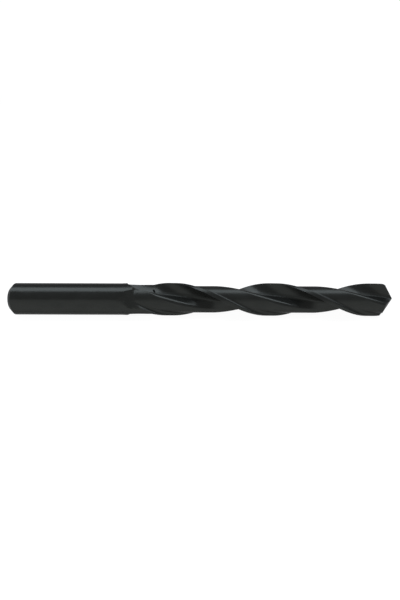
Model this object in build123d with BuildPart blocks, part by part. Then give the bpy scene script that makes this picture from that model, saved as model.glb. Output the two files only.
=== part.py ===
from build123d import *
from math import acos, asin, atan2, cos, degrees, radians, sin, sqrt, tan
import os

# Twist drill bit, two flutes, right-hand cut, straight shank, in one piece.
# It lies along X with its point at +X. The origin is the centre of the butt end of the shank.
# Lengths are in millimetres and angles in degrees. An angle about the axis runs from +Y towards +Z.

# Overall form
overall_length = 151.0
drill_diameter = 13.0
shank_diameter = 12.6
butt_chamfer = 1.5

# Helix, and where the first leading corner stands at the outer end of its lip
helix_lead = 79.7
lip_turn = 90.0

# Cross section of a land, as angles about the axis behind its leading corner
margin_angle = 12.5
step_angle = 5.5
heel_angle = 76.2
body_diameter = 10.6

# Cross section of a flute: a hooked cutting face, a floor that is ground round in a few straight cuts,
# a back wall and a rounded heel
web_thickness = 2.5
floor_radius = 1.4
floor_cuts = 3
face_hook = 0.12
face_lift = 0.35
back_wall_lean = 13.8
heel_radius = 1.35
heel_rise = 0.25
heel_overrun = 12.0

# Point: two flat flanks that fall away behind the lips and meet at the chisel edge
point_angle = 118.0
lip_clearance = 16.0

# Run-outs at the shank, where the grinding wheels lift out of the blank
flute_end = 56.0
flute_wheel_radius = 14.0
relief_end = 50.0
relief_wheel_radius = 22.0
relief_wheel_width = 9.0
relief_lag = 35.7
relief_past_heel = 20.0
neck_start = 43.0
neck_length = 4.0

# How far the cutters stand clear of the blank
overcut = 2.0
cutter_end = overall_length + 2 * overcut

drill_radius = drill_diameter / 2
shank_radius = shank_diameter / 2
body_radius = body_diameter / 2
clear_radius = drill_radius + overcut

# The flute's wheel is carried round until it is clear of the blank
wheel_hub = web_thickness / 2 + flute_wheel_radius
lift_arc = degrees(acos((wheel_hub - clear_radius) / flute_wheel_radius))

# The flank falls by one slope along the lip and by another behind it
lip_slope = 1 / tan(radians(point_angle / 2))
flank_slope = tan(radians(lip_clearance))
lip_offset = web_thickness / 2
lip_length = sqrt(drill_radius**2 - lip_offset**2)
corner_place = overall_length - lip_length * lip_slope + lip_offset * flank_slope


def corner_turn(along):
    """The angle of the first leading corner about the axis, at a distance from the butt end."""
    return lip_turn - (corner_place - along) * 360 / helix_lead


def polar(radius, angle):
    """A point of a cross section, by its radius and its angle ahead of the leading corner."""
    return (radius * cos(radians(angle)), radius * sin(radians(angle)))


def section_plane(along, side):
    """The plane across the axis whose own X runs out through one leading corner."""
    turn = radians(corner_turn(along) + side)
    return Plane(origin=(along, 0, 0), x_dir=(0, cos(turn), sin(turn)), z_dir=(1, 0, 0))


# The floor is centred so that it comes within half the web of the axis
floor_centre_y = floor_radius + face_hook
floor_centre_x = sqrt((floor_radius + web_thickness / 2) ** 2 - floor_centre_y**2)
floor_arc = 90 - back_wall_lean
floor_turns = [radians(-90 - floor_arc * cut / floor_cuts) for cut in range(floor_cuts + 1)]
floor_points = [
    (floor_centre_x + floor_radius * cos(turn), floor_centre_y + floor_radius * sin(turn))
    for turn in floor_turns
]
floor_start = floor_points[0]
wall_foot = floor_points[-1]
wall_normal = (cos(radians(back_wall_lean)), sin(radians(back_wall_lean)))
wall_offset = wall_foot[0] * wall_normal[0] + wall_foot[1] * wall_normal[1]

# The heel is round about a line that lies one heel radius inside the back wall
heel_inset = wall_offset - heel_radius
heel_reach = sqrt((body_radius + heel_rise - heel_radius) ** 2 - heel_inset**2)
heel_centre = (
    heel_inset * wall_normal[0] - heel_reach * wall_normal[1],
    heel_inset * wall_normal[1] + heel_reach * wall_normal[0],
)
wall_head = (
    heel_centre[0] + heel_radius * wall_normal[0],
    heel_centre[1] + heel_radius * wall_normal[1],
)


def heel_point(angle):
    """A point of the rounded heel, by the direction that it faces."""
    return (
        heel_centre[0] + heel_radius * cos(radians(angle)),
        heel_centre[1] + heel_radius * sin(radians(angle)),
    )


# The rounding runs on past the land, so that the two meet in an edge and not in a tangent
heel_crest_turn = degrees(atan2(heel_centre[1], heel_centre[0])) - heel_overrun
heel_crest = heel_point(heel_crest_turn)
heel_crest_angle = degrees(atan2(heel_crest[1], heel_crest[0]))


def flute_section(plane):
    """The space of one flute, from the cutting face to the heel of the next land."""
    with BuildSketch(plane) as section:
        with BuildLine():
            face_top = (clear_radius, face_lift)
            ThreePointArc(face_top, (drill_radius, 0), floor_start)
            Polyline(*floor_points)
            Line(wall_foot, wall_head)
            ThreePointArc(wall_head, heel_point((back_wall_lean + heel_crest_turn) / 2), heel_crest)
            Line(heel_crest, polar(clear_radius, heel_crest_angle))
            ThreePointArc(
                polar(clear_radius, heel_crest_angle),
                polar(clear_radius, heel_crest_angle / 2),
                face_top,
            )
        make_face()
    return section.sketch


def relief_section(plane):
    """The space over one land, from the step behind the margin to past the heel."""
    step_top = -margin_angle
    step_foot = step_top - step_angle
    past_heel = -heel_angle - relief_past_heel
    with BuildSketch(plane) as section:
        with BuildLine():
            Line(polar(clear_radius, step_top), polar(drill_radius, step_top))
            Line(polar(drill_radius, step_top), polar(body_radius, step_foot))
            ThreePointArc(
                polar(body_radius, step_foot),
                polar(body_radius, (step_foot + past_heel) / 2),
                polar(body_radius, past_heel),
            )
            Line(polar(body_radius, past_heel), polar(clear_radius, past_heel))
            ThreePointArc(
                polar(clear_radius, past_heel),
                polar(clear_radius, (step_top + past_heel) / 2),
                polar(clear_radius, step_top),
            )
        make_face()
    return section.sketch


def helical_cut(section, start):
    """Carries a cross section from its start to past the point, turning with the helix."""
    with BuildLine(Plane.XY) as spine:
        Line((start, 0, 0), (cutter_end, 0, 0))
    with BuildLine(Plane.XY) as guide:
        Helix(
            pitch=helix_lead,
            height=cutter_end - start,
            radius=drill_radius,
            center=(start, 0, 0),
            direction=(1, 0, 0),
        )
    sweep(sections=section, path=spine.line, binormal=guide.line.edge(), mode=Mode.SUBTRACT)


with BuildPart() as twist_drill:
    # The turned blank: chamfered butt, shank, short taper up to the cutting diameter
    with BuildSketch(Plane.XZ) as blank:
        with BuildLine():
            Polyline(
                (0, 0),
                (0, shank_radius - butt_chamfer),
                (butt_chamfer, shank_radius),
                (neck_start, shank_radius),
                (neck_start + neck_length, drill_radius),
                (overall_length + overcut, drill_radius),
                (overall_length + overcut, 0),
                close=True,
            )
        make_face()
    revolve(axis=Axis.X)

    # The lands are relieved behind their margins, and a flat-rimmed wheel ends each relief
    for side in (0, 180):
        relief_plane = section_plane(relief_end, side)
        helical_cut(relief_section(relief_plane), relief_end)
        lag = radians(corner_turn(relief_end) + side - relief_lag)
        outwards = Vector(0, cos(lag), sin(lag))
        wheel_centre = Vector(relief_end, 0, 0) + outwards * (body_radius + relief_wheel_radius)
        wheel_axis = outwards.cross(Vector(1, 0, 0))
        with Locations(Plane(origin=wheel_centre, x_dir=(1, 0, 0), z_dir=wheel_axis)):
            Cylinder(relief_wheel_radius, relief_wheel_width, mode=Mode.SUBTRACT)

    # Each flute follows the helix, and its wheel then lifts straight out along the cutting face
    for side in (0, 180):
        flute_plane = section_plane(flute_end, side)
        helical_cut(flute_section(flute_plane), flute_end)
        lift_place = flute_plane.origin + flute_plane.x_dir * wheel_hub
        lift_axis = Axis(lift_place, flute_plane.y_dir)
        revolve(flute_section(flute_plane), axis=lift_axis, revolution_arc=-lift_arc, mode=Mode.SUBTRACT)

    # The two flanks of the point meet at the chisel edge, through the axis
    for side in (0, 180):
        lip = radians(lip_turn + side) - asin(lip_offset / drill_radius)
        flank_normal = (
            1,
            lip_slope * cos(lip) + flank_slope * sin(lip),
            lip_slope * sin(lip) - flank_slope * cos(lip),
        )
        split(bisect_by=Plane(origin=(overall_length, 0, 0), z_dir=flank_normal), keep=Keep.BOTTOM)

twist_drill.part.label = "twist_drill"
os.makedirs("parts", exist_ok=True)
export_step(twist_drill.part, "parts/twist_drill.step")
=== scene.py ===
import math

import bpy
import numpy as np
from mathutils import Euler, Matrix, Vector


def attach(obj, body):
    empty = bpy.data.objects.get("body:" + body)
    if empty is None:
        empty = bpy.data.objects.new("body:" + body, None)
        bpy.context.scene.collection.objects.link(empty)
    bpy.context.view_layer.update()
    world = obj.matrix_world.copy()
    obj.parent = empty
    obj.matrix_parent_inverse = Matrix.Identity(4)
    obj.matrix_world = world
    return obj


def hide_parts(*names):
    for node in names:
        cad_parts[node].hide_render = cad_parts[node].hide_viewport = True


# A black-oxide twist drill that lies on a pale floor. Lengths are in metres and angles in radians.
# An angle about the drill's axis runs from +Y towards +Z, and the point is at +X.

MM = 0.001

# Overall form, and the helix with the angle of its first leading corner at the outer end of the lip
OVERALL_LENGTH = 151.0 * MM
DRILL_RADIUS = 6.5 * MM
SHANK_RADIUS = 6.3 * MM
BUTT_CHAMFER = 1.5 * MM
HELIX_LEAD = 79.7 * MM
TWIST = 2 * math.pi / HELIX_LEAD
LIP_TURN = math.radians(90.0)

# A land, as angles behind its leading corner, and the fillet of the step behind its margin
MARGIN_ANGLE = math.radians(12.5)
HEEL_ANGLE = math.radians(76.2)
PAST_HEEL = math.radians(20)
BODY_RADIUS = 5.3 * MM
STEP_FILLET = 1.05 * MM

# A flute: a hollow cutting face, a floor that is a tight fillet, a back wall and a rounded heel
WALL_OFFSET = 1.65 * MM
FLOOR_RADIUS = 0.8 * MM
FACE_RADIUS = 9.9 * MM
FACE_RAKE = math.radians(97.3)
FACE_OVERRUN = math.radians(13)
BACK_WALL_LEAN = math.radians(10.7)
HEEL_RADIUS = 1.7 * MM
HEEL_RISE = 0.015 * MM
HEEL_CREST = math.radians(12)
PAST_CREST = 4.0 * MM

# The point: its flanks are cones that stand a little outside the axis
LIP_OFFSET = 1.25 * MM
LIP_SLOPE = 1 / math.tan(math.radians(118.0 / 2))
FLANK_SLOPE = math.tan(math.radians(16.0))
FLANK_ROUND = 1.5 * MM
LIP_LENGTH = math.sqrt(DRILL_RADIUS**2 - LIP_OFFSET**2)
CORNER_PLACE = OVERALL_LENGTH - LIP_LENGTH * LIP_SLOPE + LIP_OFFSET * FLANK_SLOPE

# Where the wheels leave the blank, near the shank, and where a flute's heel is still nearly sharp
FLUTE_END = 56.0 * MM
FLUTE_WHEEL = 14.0 * MM
FLUTE_HUB = LIP_OFFSET + FLUTE_WHEEL
RAW_HEEL_RADIUS = 0.45 * MM
RAW_HEEL_END = 53.0 * MM
FULL_HEEL_START = FLUTE_END + 2.5 * MM
RELIEF_END = 50.0 * MM
RELIEF_WHEEL = 22.0 * MM
RELIEF_LAG = math.radians(35.7)
RELIEF_CORNER = 1.4 * MM
NECK_START = 44.0 * MM
NECK_LENGTH = 4.0 * MM

# Points along each stretch of half a section, and along each stretch of the fine outline they come from
FACE_POINTS = 22
FLOOR_POINTS = 14
WALL_POINTS = 18
HEEL_POINTS = 14
BODY_POINTS = 36
STEP_POINTS = 14
MARGIN_POINTS = 10
FINE_POINTS = 1200

# Rows along each stretch of the length, and shares of the way out over the butt and in over the flanks
CHAMFER_ROWS = 3
SHANK_ROWS = 26
RUN_OUT_ROWS = 110
HELIX_ROWS = 150
TIP_ROWS = 14
TIP_LENGTH = 1.0 * MM
BUTT_SHARES = (0.0, 0.35, 0.7, 1.0)
FLANK_SHARES = (0.97, 0.9, 0.8, 0.7, 0.6, 0.5, 0.4, 0.3, 0.2, 0.1, 0.0)

# A place where the section is whole, the steps of two searches, and how the mesh is joined and creased
WHOLE_SECTION = FLUTE_END + 10.0 * MM
CUT_STEPS = 40
TIP_STEPS = 60
CUT_DEPTH = 0.002 * MM
WELD_DISTANCE = 0.0004 * MM
SHARP_ANGLE = math.radians(28)

# Marks on the surface: how dull the lands are, how far the floor's dullness reaches past it in points,
# and the wear of the cutting edge, the heel and the edge of the margin, where it is also a painted highlight
LAND_DULLNESS = 0.3
BESIDE_FLOOR = 2
# The third value, the margin's edge, is wear and also a painted highlight
EDGE_WEAR_AND_HIGHLIGHT = (1.0, 0.6, 0.8)

# The finish: two shades of blacking, steel where it is rubbed (wear, and on the margin's edge a painted
# highlight), near black painted as shade in the nick, and roughnesses
DARK_BLACKING = (0.0255, 0.0272, 0.0255, 1)
LIGHT_BLACKING = (0.0315, 0.0335, 0.0318, 1)
# Light steel on rubbed edges: wear, and on the margin's edge a painted highlight as well
RUBBED_STEEL_AND_HIGHLIGHT = (0.085, 0.086, 0.09, 1)
# Near black inside the nick's hollow: painted shade
NICK_PAINTED_SHADE = (0.002, 0.002, 0.002, 1)
SATIN = (0.215, 0.27)
FLOOR_DULLING = 0.24
NICK_DULLING = 0.5
NICK_DEPTH = 6.0
GRIND_DEPTH = 0.012 * MM

# A nick in the wall of the near flute: its place, its turn and its half sizes
NICK_PLACE = (56.15 * MM, 2.72 * MM, 2.2 * MM)
NICK_TURN = (0.0, math.radians(18.1), math.radians(-59.7))
NICK_SIZE = (1.05 * MM, 0.38 * MM, 0.6 * MM)

# A Mix node's colour sockets, which share their names with others
MIX_SHARE, MIX_FIRST, MIX_SECOND, MIX_RESULT = 0, 6, 7, 2

# The studio: the floor's reach, the room's brightness from the horizon to overhead, and the soft box
FLOOR_REACH = 2.4
ROOM_STOPS = (
    (0.0, 1.05, 1.05), (0.2, 1.03, 1.0403), (0.4, 0.36, 0.3636), (0.75, 0.36, 0.3636), (1.0, 0.4, 0.41)
)
BOX_LENGTH = 1.0
BOX_WIDTH = 0.285
BOX_DISTANCE = 0.5
BOX_LEAN = math.radians(10)
BOX_RADIANCE = 4.0
BOX_COLOUR = (0.86, 0.92, 1.0)

# The photograph's frame and its scale, in pixels, and its view
IMAGE_WIDTH = 400
IMAGE_HEIGHT = 600
PIXEL_SIZE = 0.39958 * MM
FOOT_PIXEL = 215.0
BUTT_PIXEL = 13.0
AXIS_PIXEL = 298.8
HALF_PIXEL = 0.5
CAMERA_DISTANCE = 172.7 * MM
CAMERA_ELEVATION = math.radians(27.2)
CAMERA_ROLL = math.radians(0.163)
SENSOR_WIDTH = 36.0


def helix_turn(along):
    """Angle of the first leading corner on the helix."""
    return LIP_TURN - (CORNER_PLACE - along) * TWIST


def flute_turn(along):
    """Angle of the flute's own frame, which stops turning where the wheel starts to lift."""
    return helix_turn(np.maximum(along, FLUTE_END))


def blank_radius(along):
    """Radius of the turned blank: the shank, a short taper and the cutting diameter."""
    share = np.clip((along - NECK_START) / NECK_LENGTH, 0, 1)
    return SHANK_RADIUS + (DRILL_RADIUS - SHANK_RADIUS) * share


def arc(centre, radius, first, last):
    """Points along a circle from one direction to another, as centre + radius * (cos t, sin t)."""
    turn = np.linspace(first, last, FINE_POINTS)
    return np.array(centre) + radius * np.stack([np.cos(turn), np.sin(turn)], axis=1)


def line(start, step):
    """Points along a straight stretch, as start + s * step with s from 0 to 1."""
    return start + np.linspace(0, 1, FINE_POINTS)[:, None] * step


def heel_radius(along):
    """The heel's radius grows from nearly sharp to full by a smooth step, s * s * (3 - 2 * s)."""
    share = np.clip((along - RAW_HEEL_END) / (FULL_HEEL_START - RAW_HEEL_END), 0, 1)
    return float(RAW_HEEL_RADIUS + (HEEL_RADIUS - RAW_HEEL_RADIUS) * share * share * (3 - 2 * share))


def flute_profile(round_heel):
    """The outline of a flute in its corner's frame, from outside the cutting face to outside the heel.

    Returns the points and, for each, how far along it is: 0 to 1 on the cutting face, 1 to 2 on the floor,
    2 to 3 on the back wall, 3 to 4 on the heel and 4 to 5 straight out from its crest.
    """
    normal = np.array([math.cos(BACK_WALL_LEAN), math.sin(BACK_WALL_LEAN)])
    along_wall = np.array([-normal[1], normal[0]])

    # The face is hollow, so that the lip comes out straight, and the floor touches it and the back wall
    face_centre = np.array([
        DRILL_RADIUS + FACE_RADIUS * math.cos(FACE_RAKE), FACE_RADIUS * math.sin(FACE_RAKE)
    ])
    off_wall = face_centre @ normal - WALL_OFFSET - FLOOR_RADIUS
    up_wall = face_centre @ along_wall - math.sqrt((FACE_RADIUS - FLOOR_RADIUS) ** 2 - off_wall**2)
    floor_centre = (WALL_OFFSET + FLOOR_RADIUS) * normal + up_wall * along_wall
    to_floor = floor_centre - face_centre
    floor_start = math.atan2(to_floor[1], to_floor[0])
    wall_foot = floor_centre - FLOOR_RADIUS * normal

    # The heel touches the back wall and comes up through the land's outside
    heel_inset = WALL_OFFSET - round_heel
    heel_reach = math.sqrt((BODY_RADIUS + HEEL_RISE - round_heel) ** 2 - heel_inset**2)
    heel_centre = heel_inset * normal + heel_reach * along_wall
    wall_head = heel_centre + round_heel * normal
    crest_turn = math.atan2(heel_centre[1], heel_centre[0]) - HEEL_CREST
    heel = arc(heel_centre, round_heel, BACK_WALL_LEAN, crest_turn)

    stretches = [
        arc(face_centre, FACE_RADIUS, FACE_RAKE - math.pi + FACE_OVERRUN, floor_start),
        arc(floor_centre, FLOOR_RADIUS, floor_start, BACK_WALL_LEAN - math.pi),
        line(wall_foot, wall_head - wall_foot),
        heel,
        line(heel[-1], heel[-1] / np.linalg.norm(heel[-1]) * PAST_CREST),
    ]
    places = [number + np.linspace(0, 1, FINE_POINTS) for number in range(len(stretches))]
    return np.concatenate(stretches), np.concatenate(places)


def land_radius(along, angle):
    """Radius of the drill's outside at an angle about the axis, as if no flute were cut.

    It is the least of the blank, the body behind the margin with its filleted step, and the flat that
    the relief wheel leaves. Before its end the relief lifts out along the wheel's rounded corner.
    """
    blank = blank_radius(along)
    behind = np.mod(helix_turn(along) - angle, math.pi)
    from_edge = (behind - MARGIN_ANGLE) * BODY_RADIUS
    inwards = np.clip(1 - from_edge / STEP_FILLET, 0, 1)
    climb = (DRILL_RADIUS - BODY_RADIUS) * (1 - np.sqrt(np.clip(1 - inwards**2, 0, 1)))
    before = np.clip((RELIEF_END - along) / RELIEF_CORNER, 0, 1)
    lift = RELIEF_CORNER * (1 - np.sqrt(1 - before**2))
    relieved = (behind > MARGIN_ANGLE) & (behind < HEEL_ANGLE + PAST_HEEL)
    body = np.where(relieved, np.minimum(blank, BODY_RADIUS + climb + lift), blank)

    wheel_turn = helix_turn(RELIEF_END) - RELIEF_LAG
    from_wheel = np.mod(angle - wheel_turn + math.pi / 2, math.pi) - math.pi / 2
    reach = np.sqrt(np.maximum(RELIEF_WHEEL**2 - (along - RELIEF_END) ** 2, 0))
    flat = (BODY_RADIUS + RELIEF_WHEEL - reach) / np.maximum(np.cos(from_wheel), 0.1)
    return np.minimum(body, flat)


def lifted_profile(profile, along):
    """The outline where the wheel has lifted: x' = hub - sqrt((hub - x)^2 - d^2), d from the flute's end."""
    rise = np.maximum(FLUTE_END - along, 0)
    out = FLUTE_HUB - np.sqrt(np.maximum((FLUTE_HUB - profile[:, 0]) ** 2 - rise**2, 0))
    return np.stack([out, profile[:, 1]], axis=1)


def depth_inside(outline, along):
    """How deep each point of a flute's outline lies inside the land's outside, and less than 0 out of it."""
    angle = np.arctan2(outline[:, 1], outline[:, 0]) + float(flute_turn(along))
    return land_radius(along, angle) - np.hypot(outline[:, 0], outline[:, 1])


def first_cut(profile):
    """Where the flute first touches the blank, found by halving."""
    low, high = FLUTE_END - FLUTE_WHEEL, FLUTE_END
    for _ in range(CUT_STEPS):
        middle = 0.5 * (low + high)
        if np.any(depth_inside(lifted_profile(profile, middle), middle) > 0):
            high = middle
        else:
            low = middle
    return high + CUT_DEPTH


def shares(points):
    """Evenly spaced shares of a stretch, without its end."""
    return np.arange(points) / points


def flute_shares(profile, places):
    """The places of a whole flute's points, as shares of the way from its cutting edge to its heel.

    Where a stretch is cut short, its points move up to the crossing and share what is left.
    """
    inside = np.nonzero(depth_inside(profile, WHOLE_SECTION) > 0)[0]
    start, end = places[inside[0]], places[inside[-1]]
    usual = np.concatenate([
        shares(FACE_POINTS), 1 + shares(FLOOR_POINTS), 2 + shares(WALL_POINTS), 3 + shares(HEEL_POINTS), [4.0]
    ])
    share = np.clip((usual - start) / (end - start), 0, 1)
    return np.sort((share - share[0]) / (share[-1] - share[0]))


def section_half(flute, share, along):
    """One row's points from a leading corner to the next one, as radii and angles about the axis.

    The flute's outline is kept where it lies inside the land's outside; its two crossings with it are the
    cutting edge and the heel.
    """
    profile, places = flute
    outline = lifted_profile(profile, along)
    turn = float(flute_turn(along))
    inside = depth_inside(outline, along)
    cut = np.nonzero(inside > 0)[0]
    if len(cut):
        first, last = max(cut[0], 1), min(cut[-1], len(places) - 2)
        start = np.interp(0, [inside[first - 1], inside[first]], [places[first - 1], places[first]])
        end = np.interp(0, [inside[last + 1], inside[last]], [places[last + 1], places[last]])
    else:
        start = end = places[np.argmax(inside)]

    wanted = start + share * (end - start)
    flute_x = np.interp(wanted, places, outline[:, 0])
    flute_y = np.interp(wanted, places, outline[:, 1])
    flute_angle = np.arctan2(flute_y, flute_x) + turn
    flute_radius = np.minimum(np.hypot(flute_x, flute_y), land_radius(along, flute_angle))

    corner = flute_angle[0] + math.pi
    edge = float(helix_turn(along)) + math.pi - MARGIN_ANGLE
    foot = edge - STEP_FILLET / BODY_RADIUS
    heel = flute_angle[-1]
    body = heel + (foot - heel) * shares(BODY_POINTS)[1:]
    step = foot + (edge - foot) * np.sin(shares(STEP_POINTS) * math.pi / 2)
    margin = edge + (corner - edge) * shares(MARGIN_POINTS)
    land_angle = np.concatenate([body, step, margin])
    land = land_radius(along, land_angle)
    return np.concatenate([flute_radius, land]), np.concatenate([flute_angle, land_angle])


def surface_marks(rows):
    """How dull each point is, most in the flute's floor, and how worn, most on a land's edges, with a painted
    highlight on the margin's edge.

    A mark is the section's own value times a share that grows from 0 on the shank to 1 past the run-outs.
    """
    flute = FACE_POINTS + FLOOR_POINTS + WALL_POINTS + HEEL_POINTS + 1
    margin_edge = flute + BODY_POINTS - 1 + STEP_POINTS
    dull = np.zeros(margin_edge + MARGIN_POINTS)
    dull[flute:] = LAND_DULLNESS
    dull[FACE_POINTS - BESIDE_FLOOR:FACE_POINTS + FLOOR_POINTS + BESIDE_FLOOR] = 1.0
    worn_and_highlight = np.zeros_like(dull)
    # The margin's edge is worn and also brightened as a painted highlight
    worn_and_highlight[[0, flute - 1, margin_edge]] = EDGE_WEAR_AND_HIGHLIGHT
    fluted = np.clip((rows[:, :, 0] - NECK_START) / (RELIEF_END - NECK_START), 0, 1)
    return {"dull": fluted * np.tile(dull, 2), "worn_and_highlight": fluted**3 * np.tile(worn_and_highlight, 2)}


def point_height(y, z):
    """The lesser of the two flanks at a place across the axis.

    A flank is a cone that stands s outside the axis, L - a * (hypot(along the lip + s, behind) - s) -
    b * behind, and ahead of the middle it is flat, L - a * (along the lip) + b * ahead.
    """
    heights = []
    for side in (0, math.pi):
        lip = LIP_TURN + side - math.asin(LIP_OFFSET / DRILL_RADIUS)
        out = y * math.cos(lip) + z * math.sin(lip)
        ahead = z * math.cos(lip) - y * math.sin(lip)
        reach = np.maximum(out + FLANK_ROUND, 0)
        away = np.hypot(reach, np.minimum(ahead, 0)) - FLANK_ROUND
        heights.append(OVERALL_LENGTH - LIP_SLOPE * away + FLANK_SLOPE * ahead)
    return np.minimum(*heights)


def whole_row(along, radius, angle):
    """A row across the axis, from the radii and angles of half of it, as (along, r cos a, r sin a)."""
    radius = np.concatenate([radius, radius])
    angle = np.concatenate([angle, angle + math.pi])
    return np.stack([np.full_like(angle, along), radius * np.cos(angle), radius * np.sin(angle)], axis=1)


def turned_row(along, radius, angle):
    """A row whose points have their own places along the axis, and turn with the helix as they go."""
    turned = angle + helix_turn(along)
    return np.stack([along, radius * np.cos(turned), radius * np.sin(turned)], axis=1)


def shank_rows(angle, end):
    """Rows at fixed angles, out over the flat of the butt, up its chamfer and along the shank to an end."""
    even = np.ones_like(angle)
    flat_radius = SHANK_RADIUS - BUTT_CHAMFER
    flat = [whole_row(0.0, even * flat_radius * share, angle) for share in BUTT_SHARES]
    chamfer = [
        whole_row(BUTT_CHAMFER * share, even * (flat_radius + BUTT_CHAMFER * share), angle)
        for share in np.linspace(0, 1, CHAMFER_ROWS + 1)[1:]
    ]
    shank = [
        whole_row(along, land_radius(along, angle), angle)
        for along in np.linspace(BUTT_CHAMFER, end, SHANK_ROWS + 1)[1:-1]
    ]
    return flat + chamfer + shank


def helix_rows(half_radius, half_angle, start):
    """Rows of one section that only turns, from a start to where each of its points meets a flank."""
    radius = np.concatenate([half_radius, half_radius])
    angle = np.concatenate([half_angle, half_angle + math.pi]) - float(helix_turn(start))
    end = np.full_like(angle, CORNER_PLACE)
    for _ in range(TIP_STEPS):
        _, y, z = turned_row(end, radius, angle).T
        end = 0.5 * (end + point_height(y, z))
    tip_start = end.min() - TIP_LENGTH
    helix = [
        turned_row(np.full_like(end, along), radius, angle)
        for along in np.linspace(start, tip_start, HELIX_ROWS)[1:]
    ]
    tip = [
        turned_row(tip_start + (end - tip_start) * share, radius, angle)
        for share in np.linspace(0, 1, TIP_ROWS)[1:]
    ]
    return helix + tip


def flank_rows(ring):
    """Rows that run straight in over the flanks, from a ring to the middle of the chisel edge."""
    rows = []
    for share in FLANK_SHARES:
        y, z = ring[:, 1] * share, ring[:, 2] * share
        rows.append(np.stack([point_height(y, z), y, z], axis=1))
    return rows


def drill_rows():
    """The drill's surface as rows of points, from the middle of the butt to the tip.

    Each row has the same number of points, in step with the section's corners, so that the cutting edges,
    heels and margins are lines of the mesh.
    """
    flute = flute_profile(HEEL_RADIUS)
    raw_flute = flute_profile(RAW_HEEL_RADIUS)
    share = flute_shares(*flute)
    run_out = np.linspace(first_cut(raw_flute[0]), FULL_HEEL_START, RUN_OUT_ROWS)
    _, shank_angle = section_half(raw_flute, share, run_out[0])
    rows = shank_rows(shank_angle, run_out[0])
    for along in run_out:
        rows.append(whole_row(along, *section_half(flute_profile(heel_radius(along)), share, along)))
    rows += helix_rows(*section_half(flute, share, run_out[-1]), run_out[-1])
    rows += flank_rows(rows[-1])
    return np.stack(rows)


def welded_mesh(name, rows, marks):
    """A closed tube of four-sided faces from rows of points, with points that coincide made one.

    marks holds a value for each point, under the name of the attribute that keeps it.
    """
    count, width, _ = rows.shape
    places = rows.reshape(-1, 3)
    keys = np.round(places / WELD_DISTANCE).astype(np.int64)
    _, kept, index = np.unique(keys, axis=0, return_index=True, return_inverse=True)
    here = index.reshape(count, width)
    there = np.roll(here, -1, axis=1)
    corners = np.stack([here[:-1], here[1:], there[1:], there[:-1]], axis=-1).reshape(-1, 4)
    faces = []
    for face in corners.tolist():
        ring = [point for place, point in enumerate(face) if point != face[place - 1]]
        if len(set(ring)) == len(ring) and len(ring) > 2:
            faces.append(ring)
    mesh = bpy.data.meshes.new(name)
    mesh.from_pydata(places[kept].tolist(), [], faces)
    for mark, values in marks.items():
        attribute = mesh.attributes.new(mark, "FLOAT", "POINT")
        attribute.data.foreach_set("value", values.reshape(-1)[kept].astype(np.float32))
    mesh.validate()
    mesh.update()
    return mesh


def noise(nodes, links, coordinates, stretch, scale, detail):
    """Noise on stretched coordinates, from 0 to 1."""
    mapping = nodes.new("ShaderNodeMapping")
    mapping.inputs["Scale"].default_value = stretch
    texture = nodes.new("ShaderNodeTexNoise")
    texture.inputs["Scale"].default_value = scale
    texture.inputs["Detail"].default_value = detail
    links.new(coordinates, mapping.inputs["Vector"])
    links.new(mapping.outputs["Vector"], texture.inputs["Vector"])
    return texture.outputs["Fac"]


def marked(nodes, mark):
    """A value that the mesh keeps for each point."""
    node = nodes.new("ShaderNodeAttribute")
    node.attribute_name = mark
    return node.outputs["Fac"]


def ranged(nodes, links, value, low, high, to_low, to_high):
    """A value carried from one range to another, and held at its ends."""
    node = nodes.new("ShaderNodeMapRange")
    for name, level in (("From Min", low), ("From Max", high), ("To Min", to_low), ("To Max", to_high)):
        node.inputs[name].default_value = level
    links.new(value, node.inputs["Value"])
    return node.outputs["Result"]


def combined(nodes, links, operation, first, second):
    """Two values put together by a Math node; either may be a plain number."""
    node = nodes.new("ShaderNodeMath")
    node.operation = operation
    for socket, value in zip(node.inputs, (first, second)):
        if isinstance(value, float):
            socket.default_value = value
        else:
            links.new(value, socket)
    return node.outputs[0]


def mixed(nodes, links, share, first, second):
    """A colour part of the way from a first one, plain or from another node, to a second, plain one."""
    node = nodes.new("ShaderNodeMix")
    node.data_type = "RGBA"
    links.new(share, node.inputs[MIX_SHARE])
    if isinstance(first, tuple):
        node.inputs[MIX_FIRST].default_value = first
    else:
        links.new(first, node.inputs[MIX_FIRST])
    node.inputs[MIX_SECOND].default_value = second
    return node.outputs[MIX_RESULT]


def nick_mask(nodes, links, coordinates):
    """1 inside the long round shape of the nick, and 0 outside it."""
    mapping = nodes.new("ShaderNodeMapping")
    mapping.vector_type = "TEXTURE"
    mapping.inputs["Location"].default_value = NICK_PLACE
    mapping.inputs["Rotation"].default_value = NICK_TURN
    mapping.inputs["Scale"].default_value = NICK_SIZE
    links.new(coordinates, mapping.inputs["Vector"])
    reach = nodes.new("ShaderNodeVectorMath")
    reach.operation = "LENGTH"
    links.new(mapping.outputs["Vector"], reach.inputs[0])
    return ranged(nodes, links, reach.outputs["Value"], 0.7, 1.1, 1.0, 0.0)


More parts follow.
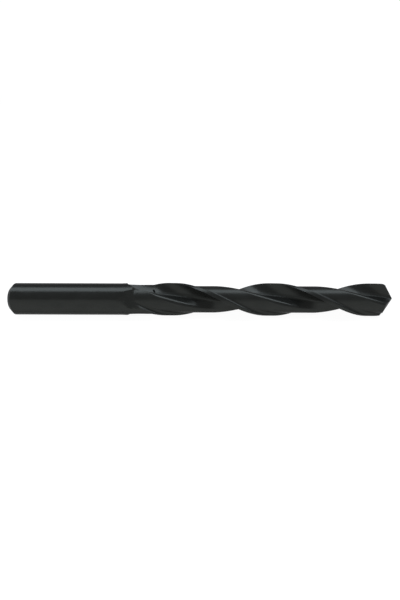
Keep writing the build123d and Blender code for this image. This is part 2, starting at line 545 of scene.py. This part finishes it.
def black_oxide():
    """Satin black oxide: nearly black, with a thin shine, grinding lines, mottling, worn edges with a painted
    highlight on the margin's edge, and painted shade in the nick.
    """
    material = bpy.data.materials.new("black_oxide_steel")
    material.use_nodes = True
    nodes, links = material.node_tree.nodes, material.node_tree.links
    shader = nodes["Principled BSDF"]
    shader.inputs["Metallic"].default_value = 0.68
    shader.inputs["Specular IOR Level"].default_value = 0.36
    shader.inputs["Specular Tint"].default_value = (0.08, 0.08, 0.08, 1)

    # Fine rings round the shank and the lands, soft blotches where the blacking took unevenly, and specks
    place = nodes.new("ShaderNodeTexCoord").outputs["Object"]
    rings = noise(nodes, links, place, stretch=(9.0, 0.5, 0.5), scale=620.0, detail=3.0)
    blotches = noise(nodes, links, place, stretch=(0.5, 1.0, 1.0), scale=420.0, detail=4.0)
    specks = noise(nodes, links, place, stretch=(1.0, 1.0, 1.0), scale=2600.0, detail=2.0)
    nick = nick_mask(nodes, links, place)

    tone = combined(nodes, links, "ADD", ranged(nodes, links, blotches, 0.3, 0.7, 0.0, 0.6),
                    ranged(nodes, links, specks, 0.35, 0.65, 0.0, 0.4))
    edges = ranged(nodes, links, marked(nodes, "worn_and_highlight"), 0.45, 1.0, 0.0, 1.0)
    worn_and_highlight = combined(nodes, links, "MULTIPLY", edges, ranged(nodes, links, blotches, 0.38, 0.62, 0.25, 1.0))
    blacking = mixed(nodes, links, tone, DARK_BLACKING, LIGHT_BLACKING)
    # Rubbed steel on the edges: wear, and on the margin's edge a painted highlight
    rubbed_and_highlight = mixed(nodes, links, worn_and_highlight, blacking, RUBBED_STEEL_AND_HIGHLIGHT)
    # The nick is painted near black, painted shade in its hollow
    links.new(mixed(nodes, links, nick, rubbed_and_highlight, NICK_PAINTED_SHADE), shader.inputs["Base Color"])

    shine = combined(nodes, links, "ADD", ranged(nodes, links, blotches, 0.3, 0.7, *SATIN),
                     ranged(nodes, links, marked(nodes, "dull"), 0.0, 1.0, 0.0, FLOOR_DULLING))
    raw = ranged(nodes, links, nick, 0.0, 1.0, 0.0, NICK_DULLING)
    links.new(combined(nodes, links, "ADD", shine, raw), shader.inputs["Roughness"])

    relief = combined(nodes, links, "ADD", combined(nodes, links, "MULTIPLY", rings, 0.55),
                      combined(nodes, links, "MULTIPLY", specks, 0.45))
    bump = nodes.new("ShaderNodeBump")
    bump.inputs["Strength"].default_value = 0.35
    bump.inputs["Distance"].default_value = GRIND_DEPTH
    hollow = combined(nodes, links, "MULTIPLY", nick, NICK_DEPTH)
    links.new(combined(nodes, links, "SUBTRACT", relief, hollow), bump.inputs["Height"])
    links.new(bump.outputs["Normal"], shader.inputs["Normal"])
    return material


def drill_surface():
    """The whole drill as one closed surface, which stands for the solid."""
    rows = drill_rows()
    mesh = welded_mesh("drill_surface", rows, surface_marks(rows))
    mesh.shade_smooth()
    mesh.set_sharp_from_angle(angle=SHARP_ANGLE)
    mesh.materials.append(black_oxide())
    drill = bpy.data.objects.new("drill_surface", mesh)
    bpy.context.collection.objects.link(drill)
    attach(drill, "root")
    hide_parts("twist_drill")


def pale_floor():
    """A wide floor under the lands, lit to pure white as the photograph's background is."""
    mesh = bpy.data.meshes.new("floor")
    reach, low = FLOOR_REACH, -DRILL_RADIUS
    corners = [(-reach, -reach, low), (reach, -reach, low), (reach, reach, low), (-reach, reach, low)]
    mesh.from_pydata(corners, [], [(0, 1, 2, 3)])
    floor = bpy.data.objects.new("floor", mesh)
    bpy.context.collection.objects.link(floor)
    material = bpy.data.materials.new("pale_floor")
    material.use_nodes = True
    shader = material.node_tree.nodes["Principled BSDF"]
    shader.inputs["Base Color"].default_value = (0.12, 0.12, 0.12, 1)
    shader.inputs["Roughness"].default_value = 0.9
    shader.inputs["Specular IOR Level"].default_value = 0.0
    shader.inputs["Emission Color"].default_value = (1, 1, 1, 1)
    shader.inputs["Emission Strength"].default_value = 0.955
    mesh.materials.append(material)


def studio_world():
    """A room that is white at the horizon and grey overhead."""
    world = bpy.data.worlds.new("studio")
    bpy.context.scene.world = world
    world.use_nodes = True
    nodes, links = world.node_tree.nodes, world.node_tree.links
    place = nodes.new("ShaderNodeTexCoord")
    split = nodes.new("ShaderNodeSeparateXYZ")
    ramp = nodes.new("ShaderNodeValToRGB")
    links.new(place.outputs["Generated"], split.inputs[0])
    links.new(split.outputs["Z"], ramp.inputs["Fac"])
    links.new(ramp.outputs["Color"], nodes["Background"].inputs["Color"])
    stops = ramp.color_ramp.elements
    for height, _, _ in ROOM_STOPS[1:-1]:
        stops.new(height)
    for stop, (height, grey, blue) in zip(stops, ROOM_STOPS):
        stop.position = height
        stop.color = (grey, grey, blue, 1)


def soft_box():
    """The long soft box that stands over the drill and a little behind it."""
    light = bpy.data.lights.new("soft_box", "AREA")
    light.shape = "RECTANGLE"
    light.size = BOX_LENGTH
    light.size_y = BOX_WIDTH
    light.energy = BOX_RADIANCE * math.pi * BOX_LENGTH * BOX_WIDTH
    light.color = BOX_COLOUR
    holder = bpy.data.objects.new("soft_box", light)
    bpy.context.collection.objects.link(holder)
    aim = Vector((OVERALL_LENGTH / 2, 0, 0))
    away = BOX_DISTANCE * Vector((0, math.sin(BOX_LEAN), math.cos(BOX_LEAN)))
    holder.location = aim + away
    holder.rotation_euler = (-away).to_track_quat("-Z", "Y").to_euler()


def camera():
    """The photograph's view: square to the drill's length, from in front and above.

    A pixel's middle lies half a pixel past its number.
    """
    data = bpy.data.cameras.new("camera")
    data.sensor_width = SENSOR_WIDTH
    data.lens = SENSOR_WIDTH * CAMERA_DISTANCE / PIXEL_SIZE / IMAGE_HEIGHT
    data.shift_x = (IMAGE_WIDTH / 2 - FOOT_PIXEL) / IMAGE_HEIGHT
    data.shift_y = (AXIS_PIXEL + HALF_PIXEL - IMAGE_HEIGHT / 2) / IMAGE_HEIGHT
    data.clip_start = 0.01
    data.clip_end = 20
    holder = bpy.data.objects.new("camera", data)
    bpy.context.collection.objects.link(holder)
    foot = Vector(((FOOT_PIXEL - BUTT_PIXEL) * PIXEL_SIZE, 0, 0))
    towards = Vector((0, -math.cos(CAMERA_ELEVATION), math.sin(CAMERA_ELEVATION)))
    holder.location = foot + towards * CAMERA_DISTANCE
    level = Euler((math.pi / 2 - CAMERA_ELEVATION, 0, 0)).to_matrix()
    holder.rotation_euler = (level @ Matrix.Rotation(CAMERA_ROLL, 3, "Z")).to_euler()
    bpy.context.scene.camera = holder


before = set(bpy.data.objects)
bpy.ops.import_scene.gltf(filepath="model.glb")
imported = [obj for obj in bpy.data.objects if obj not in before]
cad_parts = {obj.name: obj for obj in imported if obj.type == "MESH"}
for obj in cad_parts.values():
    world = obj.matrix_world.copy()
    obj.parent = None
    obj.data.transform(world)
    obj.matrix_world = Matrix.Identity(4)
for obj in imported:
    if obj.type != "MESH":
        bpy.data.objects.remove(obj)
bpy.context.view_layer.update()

drill_surface()
pale_floor()
studio_world()
soft_box()
camera()
bpy.context.scene.view_settings.view_transform = "Standard"
